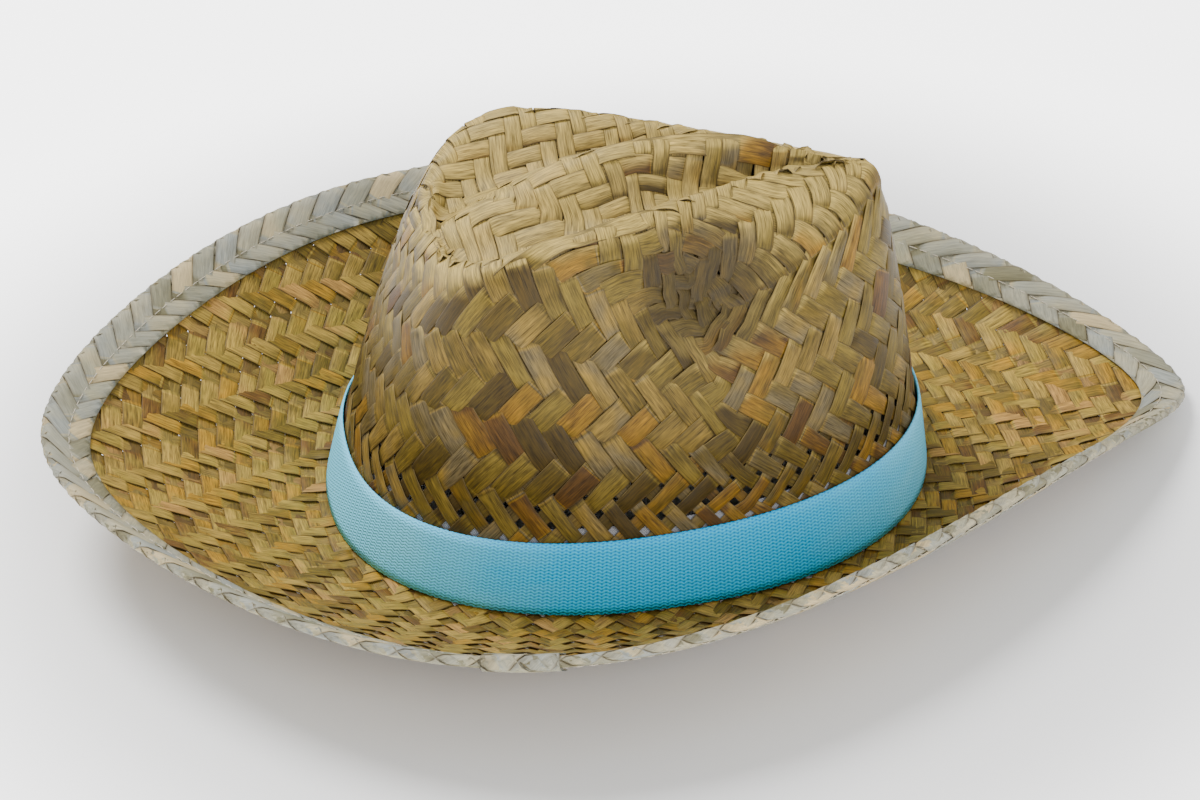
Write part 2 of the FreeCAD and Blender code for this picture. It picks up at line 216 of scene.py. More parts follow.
class PolarTable:
    """Surface points on a grid of azimuth and radius, read back with smooth normals."""

    def __init__(self, grid, step):
        self.grid, self.step, self.count = grid, step, grid.shape[1]
        around = np.roll(grid, -1, 1) - np.roll(grid, 1, 1)
        outward = np.gradient(grid, axis=0)
        n = np.cross(outward, around)
        n[:2] = n[2:4].mean((0, 1))
        dead = np.linalg.norm(n, axis=-1) < 1e-7
        for k in range(1, len(n)):
            n[k][dead[k]] = n[k - 1][dead[k]]
        self.normal = unit(n)

    def read(self, azimuth, radius):
        i = np.clip(radius / self.step, 0, len(self.grid) - 1.001)
        j = (azimuth / (2 * PI) % 1.0) * self.count
        i0, j0 = i.astype(int), j.astype(int) % self.count
        fi, fj = (i - i0)[..., None], (j - np.floor(j))[..., None]
        j1 = (j0 + 1) % self.count
        result = []
        for g in (self.grid, self.normal):
            low = g[i0, j0] * (1 - fj) + g[i0, j1] * fj
            high = g[i0 + 1, j0] * (1 - fj) + g[i0 + 1, j1] * fj
            result.append(low * (1 - fi) + high * fi)
        return result[0], unit(result[1])


def crown_table():
    """Crown surface by azimuth and radius in a flat pattern of the crown.

    In the pattern the top lies as seen from above, stretched to its true slopes, and each
    line down the wall goes on from the rim at its true length.
    """
    phi = np.linspace(-PI, PI, 1441)[:, None]
    top = top_point(phi, np.linspace(0.0, 1.0, 70)[None])
    wall = wall_point(phi, np.linspace(0.0, 1.0, 180)[None, 1:] ** 1.5)
    lines = np.concatenate([top, wall], 1)
    arc = np.cumsum(np.linalg.norm(np.diff(lines, axis=1), axis=-1), 1)
    arc = np.concatenate([np.zeros((len(phi), 1)), arc], 1)
    flat = top[..., :2] - (TOP_CENTRE_X, 0.0)
    reach = np.maximum(np.linalg.norm(flat, axis=-1), 1e-6)
    flat = flat * (arc[:, :70] / reach)[..., None]
    foot = lines[:, -1]
    down = unit(foot[:, :2] - top[:, -1, :2])
    fall = (arc[:, 70:] - arc[:, 69:70])[..., None]
    flat = np.concatenate([flat, flat[:, -1:] + down[:, None] * fall], 1)
    flat[:, 0] = flat[:, 1] * 1e-3
    radius = np.maximum.accumulate(np.linalg.norm(flat, axis=-1), 1)
    bearing = np.unwrap(np.unwrap(np.arctan2(flat[..., 1], flat[..., 0]), axis=0), axis=1)
    levels = np.arange(0.0, radius.max() + 2.0)
    azimuths = np.arange(720) * PI / 360.0
    even = np.array([[np.interp(levels, r, line[:, k]) for k in range(3)]
                     + [np.interp(levels, r, turn)]
                     for r, line, turn in zip(radius, lines, bearing)])
    grid = np.zeros((len(levels), 720, 3))
    for m in range(len(levels)):
        beta = np.mod(even[:-1, 3, m], 2 * PI)
        order = np.argsort(beta)
        for k in range(3):
            grid[m, :, k] = np.interp(azimuths, beta[order], even[:-1, k, m][order],
                                      period=2 * PI)
    foot_beta = np.mod(bearing[:-1, -1], 2 * PI)
    order = np.argsort(foot_beta)
    return PolarTable(grid, 1.0), foot_beta[order], radius[:-1, -1][order]


# ---- ribbon meshes -----------------------------------------------------------------------
SECTION = np.array([(-1, 0.3), (-0.93, 0.9), (0, 1.0), (0.93, 0.9), (1, 0.3),
                    (0.98, -0.8), (0, -0.9), (-0.98, -0.8)])


class Ribbons:
    """Collects closed flat ribbons and makes one mesh object of them."""

    def __init__(self):
        self.points, self.faces, self.paint, self.uvs, self.count = [], [], [], [], 0

    def add(self, rings, paint, along, across):
        """rings: cross sections (n, k, 3) in mm; paint (n, k, 3); uv from along, across."""
        n, k = rings.shape[:2]
        if n < 2:
            return
        base = self.count + np.arange(n * k).reshape(n, k)
        a, b = base[:-1], base[1:]
        quads = np.stack([b, np.roll(b, -1, 1), np.roll(a, -1, 1), a], -1).reshape(-1, 4)
        self.faces += quads.tolist()
        self.faces += [base[0].tolist(), base[-1][::-1].tolist()]
        self.points.append(rings.reshape(-1, 3))
        self.paint.append(paint.reshape(-1, 3))
        uv = np.stack(np.broadcast_arrays(along[:, None], across[None]), -1)
        self.uvs.append(uv.reshape(-1, 2))
        self.count += n * k

    def build(self, name, material, body, slot, replaces):
        points = np.concatenate(self.points) + (CENTRE_X, 0, 0)
        mesh = bpy.data.meshes.new(name)
        mesh.from_pydata((points * MM).tolist(), [], self.faces)
        paint = np.ones((len(points), 4), np.float32)
        paint[:, :3] = np.concatenate(self.paint)
        layer = mesh.attributes.new("tone", "FLOAT_COLOR", "POINT")
        layer.data.foreach_set("color", paint.ravel())
        loops = np.zeros(len(mesh.loops), np.int32)
        mesh.loops.foreach_get("vertex_index", loops)
        uv = mesh.uv_layers.new(name="strip")
        uv.data.foreach_set("uv", np.concatenate(self.uvs)[loops].astype(np.float32).ravel())
        mesh.polygons.foreach_set("use_smooth", np.ones(len(mesh.polygons), bool))
        mesh.materials.append(material)
        mesh.update()
        piece = bpy.data.objects.new(name, mesh)
        bpy.context.scene.collection.objects.link(piece)
        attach(piece, body)
        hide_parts(*replaces)
        return piece


def over_under(flag, t):
    """Height -1..1 along a strip; crossings are at whole t plus a half."""
    k = np.floor(t)
    f = t - k - 0.5
    here = np.where(flag(k), 1.0, -1.0)
    side = np.where(f >= 0, 1, -1)
    there = np.where(flag(k + side), 1.0, -1.0)
    return here + (there - here) * smooth((np.abs(f) - 0.26) / 0.48), k


def runs(flags):
    """Number of the over or under run that each cross section belongs to."""
    return np.concatenate([[0], np.cumsum(flags[1:] != flags[:-1])])


def strip_noise(t, size, rough=0.35):
    """Slow random wander along a strip."""
    knots = np.arange(np.floor(t.min()) - 1, np.ceil(t.max()) + 2) * 1.0
    return np.interp(t, knots, rng.normal(0.0, size, len(knots))) + rng.normal(0, size * rough)


def lay_strip(out, centre, normal, height, width, float_index):
    """One straw strip along the surface points; it rises and dips with height (-1..1)."""
    step = np.linalg.norm(np.diff(centre, axis=0), axis=1)
    keep = np.concatenate([[True], step > MIN_STEP])
    centre, normal, height = centre[keep], normal[keep], height[keep]
    width, float_index = width[keep], float_index[keep]
    if len(centre) < 4:
        return
    along = run_length(centre)
    tangent = unit(np.gradient(centre, axis=0))
    side = unit(np.cross(normal, tangent))
    n = len(centre)
    t = along / 12.0
    wander = strip_noise(t, STRIP_WANDER)
    tilt = STRIP_TILT + strip_noise(along / 7.0, TILT_NOISE)
    lift = height * STRIP_RISE + strip_noise(along / 6.0, LIFT_NOISE)
    for place, reach in CRUMPLES:
        near = np.exp(-(np.linalg.norm(centre - place, axis=-1) / reach) ** 2)
        tilt = tilt + near * strip_noise(along / 2.5, CRUMPLE_TILT)
        lift = lift + near * strip_noise(along / 3.0, CRUMPLE_LIFT)
        wander = wander + near * strip_noise(along / 4.0, CRUMPLE_WANDER)
    x = SECTION[:, 0][None] * (width / 2.0)[:, None]
    z = SECTION[:, 1][None] * STRIP_THICK / 2.0 + lift[:, None]
    z = z + x * tilt[:, None] - STRIP_SAG * (SECTION[:, 0] ** 2)[None]
    rings = (centre[:, None] + side[:, None] * (x + wander[:, None])[..., None]
             + normal[:, None] * z[..., None])
    rings[..., 2] = np.maximum(rings[..., 2], LOWEST)
    strip_tone = rng.random()
    floats = np.unique(float_index)
    float_tone = dict(zip(floats.tolist(), rng.random(len(floats)).tolist()))
    tone = np.array([float_tone[f] for f in float_index.tolist()])
    # third channel: how high the strip lies, which the material turns into painted shade where it dips
    # under
    paint = np.stack([np.full(n, strip_tone), tone, height * 0.5 + 0.5], -1)
    out.add(rings, np.repeat(paint[:, None], 8, 1), along + rng.random() * 400.0,
            SECTION[:, 0])


# ---- crown weave -------------------------------------------------------------------------
table, foot_azimuth, foot_radius = crown_table()


def square_edge(s):
    """Point of the start square's edge, s counted in strips clockwise from its left corner."""
    corners = np.array([(0, 1), (1, 0), (0, -1), (-1, 0), (0, 1)], float) * CROWN_REACH
    s = np.mod(s, 4 * CROWN_HALF) / CROWN_HALF
    e = np.minimum(s.astype(int), 3)
    f = (s - e)[..., None]
    p = corners[e] * (1 - f) + corners[e + 1] * f
    return p[..., 0] + SQUARE_X, p[..., 1] + SQUARE_Y


def wall_levels(levels=41, steps=4 * CROWN_HALF * 4):
    """Azimuth and radius of level curves between the square's edge and the foot.

    Along each curve the strips are spaced evenly by true length.
    """
    s = np.arange(steps) / 4.0
    x, y = square_edge(s)
    edge = np.unwrap(np.arctan2(y, x))
    fine = np.linspace(0.0, 2 * PI, 1441)
    order = np.argsort(np.mod(edge, 2 * PI))
    start = np.interp(fine, np.mod(edge, 2 * PI)[order], np.hypot(x, y)[order], period=2 * PI)
    foot = np.interp(fine, foot_azimuth, foot_radius, period=2 * PI)
    azimuth = np.zeros((levels, steps))
    radius = np.zeros((levels, steps))
    last = edge
    for k in range(levels):
        share = k / (levels - 1.0)
        level = start + (foot - start) * share
        points, _ = table.read(fine, level)
        run = run_length(points)
        offset = 0.0
        for _ in range(6):
            part = offset - s / (4.0 * CROWN_HALF)
            turns = np.floor(part)
            even = np.interp((part - turns) * run[-1], run, fine) + 2 * PI * turns
            offset += (last - even).mean() / (2 * PI)
        mixed = edge + (even - edge) * smooth(share / 0.25)
        azimuth[k] = mixed
        radius[k] = np.interp(np.mod(mixed, 2 * PI), fine, level)
        last = even
    return azimuth, radius


def level_read(grid, s, share, turn=0.0):
    """Value between the level curves; "turn" is what the grid gains once round."""
    steps = grid.shape[1]
    wide = np.concatenate([grid, grid[:, :1] + turn], 1)
    i = np.clip(share * (len(grid) - 1), 0, len(grid) - 1.001)
    whole = np.floor(s / (4.0 * CROWN_HALF))
    j = (s / (4.0 * CROWN_HALF) - whole) * steps
    i0, j0 = i.astype(int), np.minimum(j.astype(int), steps - 1)
    fi, fj = i - i0, j - j0
    low = wide[i0, j0] * (1 - fj) + wide[i0, j0 + 1] * fj
    high = wide[i0 + 1, j0] * (1 - fj) + wide[i0 + 1, j0 + 1] * fj
    return low * (1 - fi) + high * fi + turn * whole


level_azimuth, level_radius = wall_levels()


def crown_read(a, b, along_b):
    """Crown surface at lattice point a, b; along_b: the strip keeps a and runs along b."""
    pitch = CROWN_REACH / CROWN_HALF
    x, y = SQUARE_X + a * pitch, SQUARE_Y + b * pitch
    azimuth, radius = np.arctan2(y, x), np.hypot(x, y)
    excess = np.abs(a) + np.abs(b) - CROWN_HALF
    depth = np.maximum(excess, 0.0) / 2.0
    n = CROWN_HALF
    pos_a, pos_b = a > 0, b > 0
    kept = np.abs(a) if along_b else n - np.abs(b)
    turn = -1.0 if along_b else 1.0
    s = np.select(
        [pos_a & pos_b, pos_a & ~pos_b, ~pos_a & ~pos_b],
        [kept + turn * depth, 2 * n - kept - turn * depth, 2 * n + kept + turn * depth],
        4 * n - kept - turn * depth)
    share = np.clip(depth / WALL_ROWS, 0.0, 1.0)
    wall_azimuth = level_read(level_azimuth, s, share, -2 * PI)
    wall_radius = level_read(level_radius, s, share)
    outside = excess > 0
    azimuth = np.where(outside, wall_azimuth, azimuth)
    radius = np.where(outside, wall_radius, radius)
    return table.read(azimuth, radius)


def spacing(centre, left, right):
    """Distance between neighbouring strips, square to the strip."""
    gap = right - left
    tangent = unit(np.gradient(centre, axis=0))
    return np.linalg.norm(gap - tangent * (gap * tangent).sum(-1, keepdims=True), axis=-1)


def crown_strips(along_b):
    """The crown's strips in one of the two weave directions."""
    out = Ribbons()
    pitch = CROWN_REACH / CROWN_HALF
    for line in np.arange(-CROWN_HALF + 0.5, CROWN_HALF):
        reach = CROWN_HALF - abs(line) + 2.0 * WALL_ROWS
        count = int(reach * 2 * SAMPLES)
        t = np.linspace(-reach, reach, count)
        a, b = (np.full(count, line), t) if along_b else (t, np.full(count, line))
        p, n = crown_read(a, b, along_b)

        def flag(k):
            run = k + 0.5
            cross = (run * line < 0) * 2
            over = np.mod(abs(line) + np.abs(run) - 1 + cross, 4) < 2
            return over if along_b else ~over
        height, k = over_under(flag, t)
        near = [crown_read(a + d, b, True) if along_b else crown_read(a, b + d, False)
                for d in (-0.5, 0.5)]
        width = np.clip(spacing(p, near[0][0], near[1][0]), 0.7 * pitch, 1.45 * pitch)
        width = np.convolve(np.pad(width, 4, "edge"), np.ones(9) / 9.0, "valid")
        low = smooth((FOOT_GAP_TOP - p[:, 2]) / FOOT_GAP_BLEND) * (1.0 + 0.5 * smooth(-p[:, 1] / 30.0))
        width = (width * rng.normal(0.995, 0.025) * (1.0 - FOOT_GAPS * low)
                 + strip_noise(t / 2, 0.2))
        mid = p - n * (STRAW_THICK / 2.0)
        lay_strip(out, mid, n, height, width, runs(flag(k)))
    return out


# ---- brim weave --------------------------------------------------------------------------
def brim_table():
    """Brim surface by azimuth about the oval's middle and plan radius."""
    phi = np.linspace(-PI, PI, 1441)[:-1]
    r = np.linspace(-0.12, 1.0, 90)
    grid = brim_mid(phi[None], r[:, None])
    azimuths = np.arange(720) * PI / 360.0
    by_azimuth = np.zeros((len(r), 720, 3))
    for m, row in enumerate(grid):
        beta = np.mod(np.arctan2(row[:, 1], row[:, 0]), 2 * PI)
        order = np.argsort(beta)
        for k in range(3):
            by_azimuth[m, :, k] = np.interp(azimuths, beta[order], row[order, k],
                                            period=2 * PI)
    radius = np.hypot(by_azimuth[..., 0], by_azimuth[..., 1])
    levels = np.arange(0.0, 206.0)
    out = np.zeros((len(levels), 720, 3))
    out[..., 0] = levels[:, None] * np.cos(azimuths)
    out[..., 1] = levels[:, None] * np.sin(azimuths)
    edge = radius[-1]
    for j in range(720):
        out[:, j, 2] = np.interp(levels, radius[:, j], by_azimuth[:, j, 2])
    return PolarTable(out, 1.0), azimuths, edge


brim, edge_azimuths, edge_radius = brim_table()


def brim_strips(parabola_u):
    """Strips along curves of constant u or v, where x + iy = (u + iv) squared."""
    out = Ribbons()
    far = math.sqrt(BRIM_REACH)
    lines = np.arange(0, int(far / BRIM_PITCH) + 1) + (0.0 if parabola_u else 0.5)
    for index, line in enumerate(lines):
        low = 0.0 if parabola_u and index == 0 else -far / BRIM_PITCH
        count = int((far / BRIM_PITCH - low) * SAMPLES)
        t = np.linspace(low, far / BRIM_PITCH, count)
        u, v = (np.full(count, line), t) if parabola_u else (t, np.full(count, line))
        u, v = u * BRIM_PITCH, v * BRIM_PITCH
        x, y = u * u - v * v, 2.0 * u * v
        azimuth, radius = np.arctan2(y, x), np.hypot(x, y)
        rim_radius = np.interp(np.mod(azimuth, 2 * PI), edge_azimuths, edge_radius,
                               period=2 * PI)
        oval = ((np.abs(x) / (NECK[0] - NECK_OVERLAP)) ** NECK[2]
                + (np.abs(y) / (NECK[1] - NECK_OVERLAP)) ** NECK[2])
        inside = (radius < rim_radius - RIM_INSET) & (oval > 1.0)

        if parabola_u:
            def flag(k):
                return np.mod(index + k + 1, 4) < 2
            height, k = over_under(flag, t)
        else:
            def flag(k):
                return ~(np.mod(k + 0.5 + index + 1.5, 4) < 2)
            height, k = over_under(lambda m: flag(m + 0.5), t + 0.5)
        p, n = brim.read(azimuth, radius)
        near = []
        for d in (-0.5 * BRIM_PITCH, 0.5 * BRIM_PITCH):
            u2, v2 = (u + d, v) if parabola_u else (u, v + d)
            x2, y2 = u2 * u2 - v2 * v2, 2.0 * u2 * v2
            near.append(brim.read(np.arctan2(y2, x2), np.hypot(x2, y2))[0])
        width = np.clip(spacing(p, *near), 3.0, 9.0) * rng.normal(0.985, 0.02)
        width = width + strip_noise(t / 2, 0.15)
        ends = np.flatnonzero(np.diff(np.concatenate([[0], inside.astype(int), [0]])))
        for first, last in zip(ends[::2], ends[1::2]):
            part = slice(first, last)
            lay_strip(out, p[part], n[part], height[part] * BRIM_RISE, width[part],
                      runs(height[part] > 0))
    return out


# ---- edge braid --------------------------------------------------------------------------
FOLD = STRAW_THICK / 2.0 + BRAID_GAP + BRAID_THICK / 2.0
QUARTER = FOLD * PI / 2.0


def edge_run():
    phi = np.linspace(-PI, PI, 4001)
    return phi, run_length(brim_mid(phi, 1.0))


edge_phi, edge_length = edge_run()


def braid_read(s, c):
    """Point and normal of the folded braid: s along the edge, c across, 0 on the fold."""
    phi = np.interp(np.mod(s, edge_length[-1]), edge_length, edge_phi)
    flat = np.maximum(np.abs(c) - QUARTER, 0.0)
    p, radial, up = brim_frame(phi, 1.0 - flat / brim_width(phi))
    angle = np.clip(c / FOLD, -PI / 2.0, PI / 2.0)[..., None]
    n = radial * np.cos(angle) + up * np.sin(angle)
    return p + n * FOLD, n


def braid_strips(s_from=None, s_to=None, lift=0.0):
    """Herringbone braid folded over the edge, or only its part from s_from to s_to."""
    out = Ribbons()
    total = edge_length[-1]
    count = int(round(total / BRAID_PITCH))
    pitch = total / count
    limit = BRAID_FLANGE + QUARTER
    top_row = QUARTER + STITCH_INSET
    rows = int(math.ceil((limit + top_row) / (BRAID_ROW / 2.0)))
    c_low = top_row - (rows + 1) * BRAID_ROW / 2.0
    steps = (rows + 4) * SAMPLES
    t = np.linspace(-1.0, rows + 3.0, steps)
    c = c_low + t * BRAID_ROW / 2.0
    for slope in (1.0, -1.0):
        for line in range(count):
            s = (line + 0.5 * slope * t) * pitch

            def flag(k):
                over = np.mod(rows - k, 4) < 2
                return over if slope > 0 else ~over
            height, k = over_under(flag, t)
            if s_from is not None and (s.max() < s_from or s.min() > s_to):
                continue
            direction = unit(np.array([slope * pitch, BRAID_ROW]))
            across = np.array([-direction[1], direction[0]])
            width = pitch * direction[1] * rng.normal(0.995, 0.015) + strip_noise(t, 0.10)
            x = SECTION[:, 0][None] * (width / 2.0)[:, None] + strip_noise(t, 0.12)[:, None]
            vs, vc = s[:, None] + x * across[0], c[:, None] + x * across[1]
            inside = (vc.min(1) < limit) & (vc.max(1) > -limit)
            if s_from is not None:
                inside &= (vs.max(1) > s_from) & (vs.min(1) < s_to)
                vs = np.clip(vs, s_from, s_to)
            vc = np.clip(vc, -limit, limit)
            edge_press = smooth((limit - np.abs(vc)) / 1.2)
            wave = height[:, None] * 0.24 * edge_press * (0.3 + 0.7 * smooth(np.abs(vc) / 4.0))
            z = SECTION[:, 1][None] * 0.17 + wave + lift + strip_noise(t, 0.03)[:, None]
            p, n = braid_read(vs, vc)
            rings = p + n * z[..., None]
            tone = rng.random(64)
            # third channel: how high the strip lies, which the material turns into painted shade where
            # it dips under
            paint = np.stack([np.full(len(t), rng.random()),
                              tone[runs(flag(k)) % 64],
                              height * 0.5 + 0.5], -1)
            along = t * math.hypot(pitch, BRAID_ROW) / 2.0 + rng.random() * 300
            ends = np.flatnonzero(np.diff(np.concatenate([[0], inside.astype(int), [0]])))
            for first, last in zip(ends[::2], ends[1::2]):
                part = slice(first, last)
                out.add(rings[part], np.repeat(paint[part][:, None], 8, 1), along[part],
                        SECTION[:, 0])
    return out


# ---- stitches ----------------------------------------------------------------------------
def stitch_row(path, radius, length, gap, sink):
    """Separate short stitches along path(share) -> point, normal."""
    out = Ribbons()
    share = np.linspace(0, 1, 4001)
    p, n = path(share)
    run = run_length(p)
    count = int(run[-1] / (length + gap))
    angles = -np.arange(6) * PI / 3.0
    for k in range(count):
        a = (k + 0.1 + 0.05 * rng.random()) * run[-1] / count
        u = np.linspace(0.0, 1.0, 7)
        at = np.interp(a + u * length, run, share)
        q, m = path(at)
        q = q - m * (sink * (1.0 - np.sin(PI * u)) ** 2)[:, None]
        tangent = unit(np.gradient(q, axis=0))
        side = unit(np.cross(m, tangent))
        top = unit(np.cross(tangent, side))
        ring = (side[:, None] * np.cos(angles)[None, :, None]
                + top[:, None] * np.sin(angles)[None, :, None]) * radius
        rings = q[:, None] + ring
        paint = np.full((7, 6, 3), rng.random())
        out.add(rings, paint, u * length, np.linspace(-1, 1, 6))
    return out


def braid_stitch_path(side):
    def path(share):
        s = share * edge_length[-1]
        c = np.full_like(s, side * (QUARTER + STITCH_INSET))
        p, n = braid_read(s, c)
        return p + n * 0.42, n
    return path


def sweat_stitch_path(share):
    phi = share * 2 * PI
    p, out = wall_layer(phi, SWEAT_STITCH_Z, -STRAW_THICK - SWEAT_GAP - SWEAT_THICK - 0.15)
    return p, -out


def bartacks():
    """Two bars of close zigzag stitches standing up the band's overlap."""
    out = Ribbons()
    grow = BAND_CLEAR + 2.0 * BAND_THICK + 0.22
    half = OVERLAP_LENGTH / NECK[1] / 2.0 - BARTACK_INSET / NECK[1]
    angles = -np.arange(6) * PI / 3.0
    for phi in (OVERLAP_PHI - half, OVERLAP_PHI + half):
        turns = 26
        t = np.linspace(0, turns, turns * 6 + 1)
        z = BAND_Z0 + 3.0 + (BAND_WIDTH - 6.0) * t / turns
        sway = (np.abs(t % 1.0 - 0.5) * 4.0 - 1.0) * 0.9
        p, normal = wall_layer(phi + sway / NECK[1], z, grow)
        tangent = unit(np.gradient(p, axis=0))
        side = unit(np.cross(normal, tangent))
        ring = (side[:, None] * np.cos(angles)[None, :, None]
                + normal[:, None] * np.sin(angles)[None, :, None]) * 0.24
        out.add(p[:, None] + ring, np.full((len(t), 6, 3), 0.5), t, np.linspace(-1, 1, 6))
    return out


# ---- webbing and tape --------------------------------------------------------------------
def tape(z0, z1, inner, thick, steps, rows, scallop, period, ends=None):
    """Flat woven tape standing round the crown's foot, its edges slightly scalloped."""
    out = Ribbons()
    if ends is None:
        phi = np.linspace(0, 2 * PI, 4001)
    else:
        phi = np.linspace(ends[0], ends[1], 801)
    middle = wall_layer(phi, 0.5 * (z0 + z1), inner)[0]
    run = run_length(middle)
    s = np.linspace(0, run[-1], steps)
    at = np.interp(s, run, phi)
    wave = scallop * np.abs(np.sin(PI * s / period))
    v = np.concatenate([np.linspace(0, 1, rows), np.linspace(1, 0, rows)])
    outer = np.concatenate([np.ones(rows), np.zeros(rows)])
    z = z0 + (z1 - z0) * v[None] + (2 * v[None] - 1) ** 9 * (wave[:, None] - scallop)
    roll = 1.0 - 0.45 * np.abs(2 * v - 1) ** 12
    grow = inner + thick * (0.5 + (outer - 0.5) * roll)[None]
    p, _ = wall_layer(at[:, None], z, grow)
    paint = np.zeros((steps, 2 * rows, 3)) + 0.5
    if ends is None:
        rings = p[:-1]
        n, k = rings.shape[:2]
        base = out.count + np.arange(n * k).reshape(n, k)
        nxt = np.roll(base, -1, 0)
        quads = np.stack([base, nxt, np.roll(nxt, -1, 1), np.roll(base, -1, 1)], -1)
        out.faces += quads.reshape(-1, 4).tolist()
        out.points.append(rings.reshape(-1, 3))
        out.paint.append(paint[:-1].reshape(-1, 3))
        uv = np.stack(np.broadcast_arrays(s[:-1, None], (v * (z1 - z0))[None]), -1)
        out.uvs.append(uv.reshape(-1, 2))
        out.count += n * k
    else:
        out.add(p, paint, s, v * (z1 - z0))
    return out, run[-1]


# ---- materials ---------------------------------------------------------------------------
def new_material(name):
    material = bpy.data.materials.new(name)
    material.use_nodes = True
    nodes, links = material.node_tree.nodes, material.node_tree.links
    return material, nodes, links, nodes["Principled BSDF"]


def math_node(nodes, links, kind, a, b=None, c=None):
    node = nodes.new("ShaderNodeMath")
    node.operation = kind
    for socket, value in zip(node.inputs, (a, b, c)):
        if value is None:
            continue
        if isinstance(value, (int, float)):
            socket.default_value = value
        else:
            links.new(value, socket)
    return node.outputs[0]


def ramp_node(nodes, links, fac, stops):
    node = nodes.new("ShaderNodeValToRGB")
    while len(node.color_ramp.elements) < len(stops):
        node.color_ramp.elements.new(0.5)
    for element, (position, colour) in zip(node.color_ramp.elements, stops):
        element.position = position
        element.color = (*colour, 1.0)
    links.new(fac, node.inputs["Fac"])
    return node.outputs["Color"]


def mix_node(nodes, links, kind, fac, a, b):
    node = nodes.new("ShaderNodeMix")
    node.data_type = "RGBA"
    node.blend_type = kind
    for socket, value in ((node.inputs[0], fac), (node.inputs[6], a), (node.inputs[7], b)):
        if isinstance(value, (int, float)):
            socket.default_value = value
        elif isinstance(value, tuple):
            socket.default_value = (*value, 1.0)
        else:
            links.new(value, socket)
    return node.outputs[2]


def noise_node(nodes, links, vector, scale, detail=3.0):
    node = nodes.new("ShaderNodeTexNoise")
    node.inputs["Scale"].default_value = scale
    node.inputs["Detail"].default_value = detail
    links.new(vector, node.inputs["Vector"])
    return node.outputs["Fac"]


def scaled(nodes, links, vector, factors):
    node = nodes.new("ShaderNodeVectorMath")
    node.operation = "MULTIPLY"
    links.new(vector, node.inputs[0])
    node.inputs[1].default_value = factors
    return node.outputs[0]


def strip_uv(nodes, links):
    """UV map node of a ribbon, in mm along it, and the node that splits it."""
    uv = nodes.new("ShaderNodeUVMap")
    uv.uv_map = "strip"
    parts = nodes.new("ShaderNodeSeparateXYZ")
    links.new(uv.outputs[0], parts.inputs[0])
    return uv, parts


def map_range(nodes, links, value, low, high, start, end):
    node = nodes.new("ShaderNodeMapRange")
    node.interpolation_type = "SMOOTHSTEP"
    for socket, number in zip(node.inputs[1:5], (low, high, start, end)):
        socket.default_value = number
    links.new(value, node.inputs[0])
    return node.outputs[0]


def distance_node(nodes, links, centre):
    """Distance in metres from a place given in the hat's millimetres."""
    coord = nodes.new("ShaderNodeTexCoord")
    node = nodes.new("ShaderNodeVectorMath")
    node.operation = "DISTANCE"
    links.new(coord.outputs["Object"], node.inputs[0])
    node.inputs[1].default_value = ((centre[0] + CENTRE_X) * MM, centre[1] * MM, centre[2] * MM)
    return node.outputs["Value"]


def bump_node(nodes, links, height, strength, distance):
    node = nodes.new("ShaderNodeBump")
    node.inputs["Strength"].default_value = strength
    node.inputs["Distance"].default_value = distance
    links.new(height, node.inputs["Height"])
    return node.outputs["Normal"]


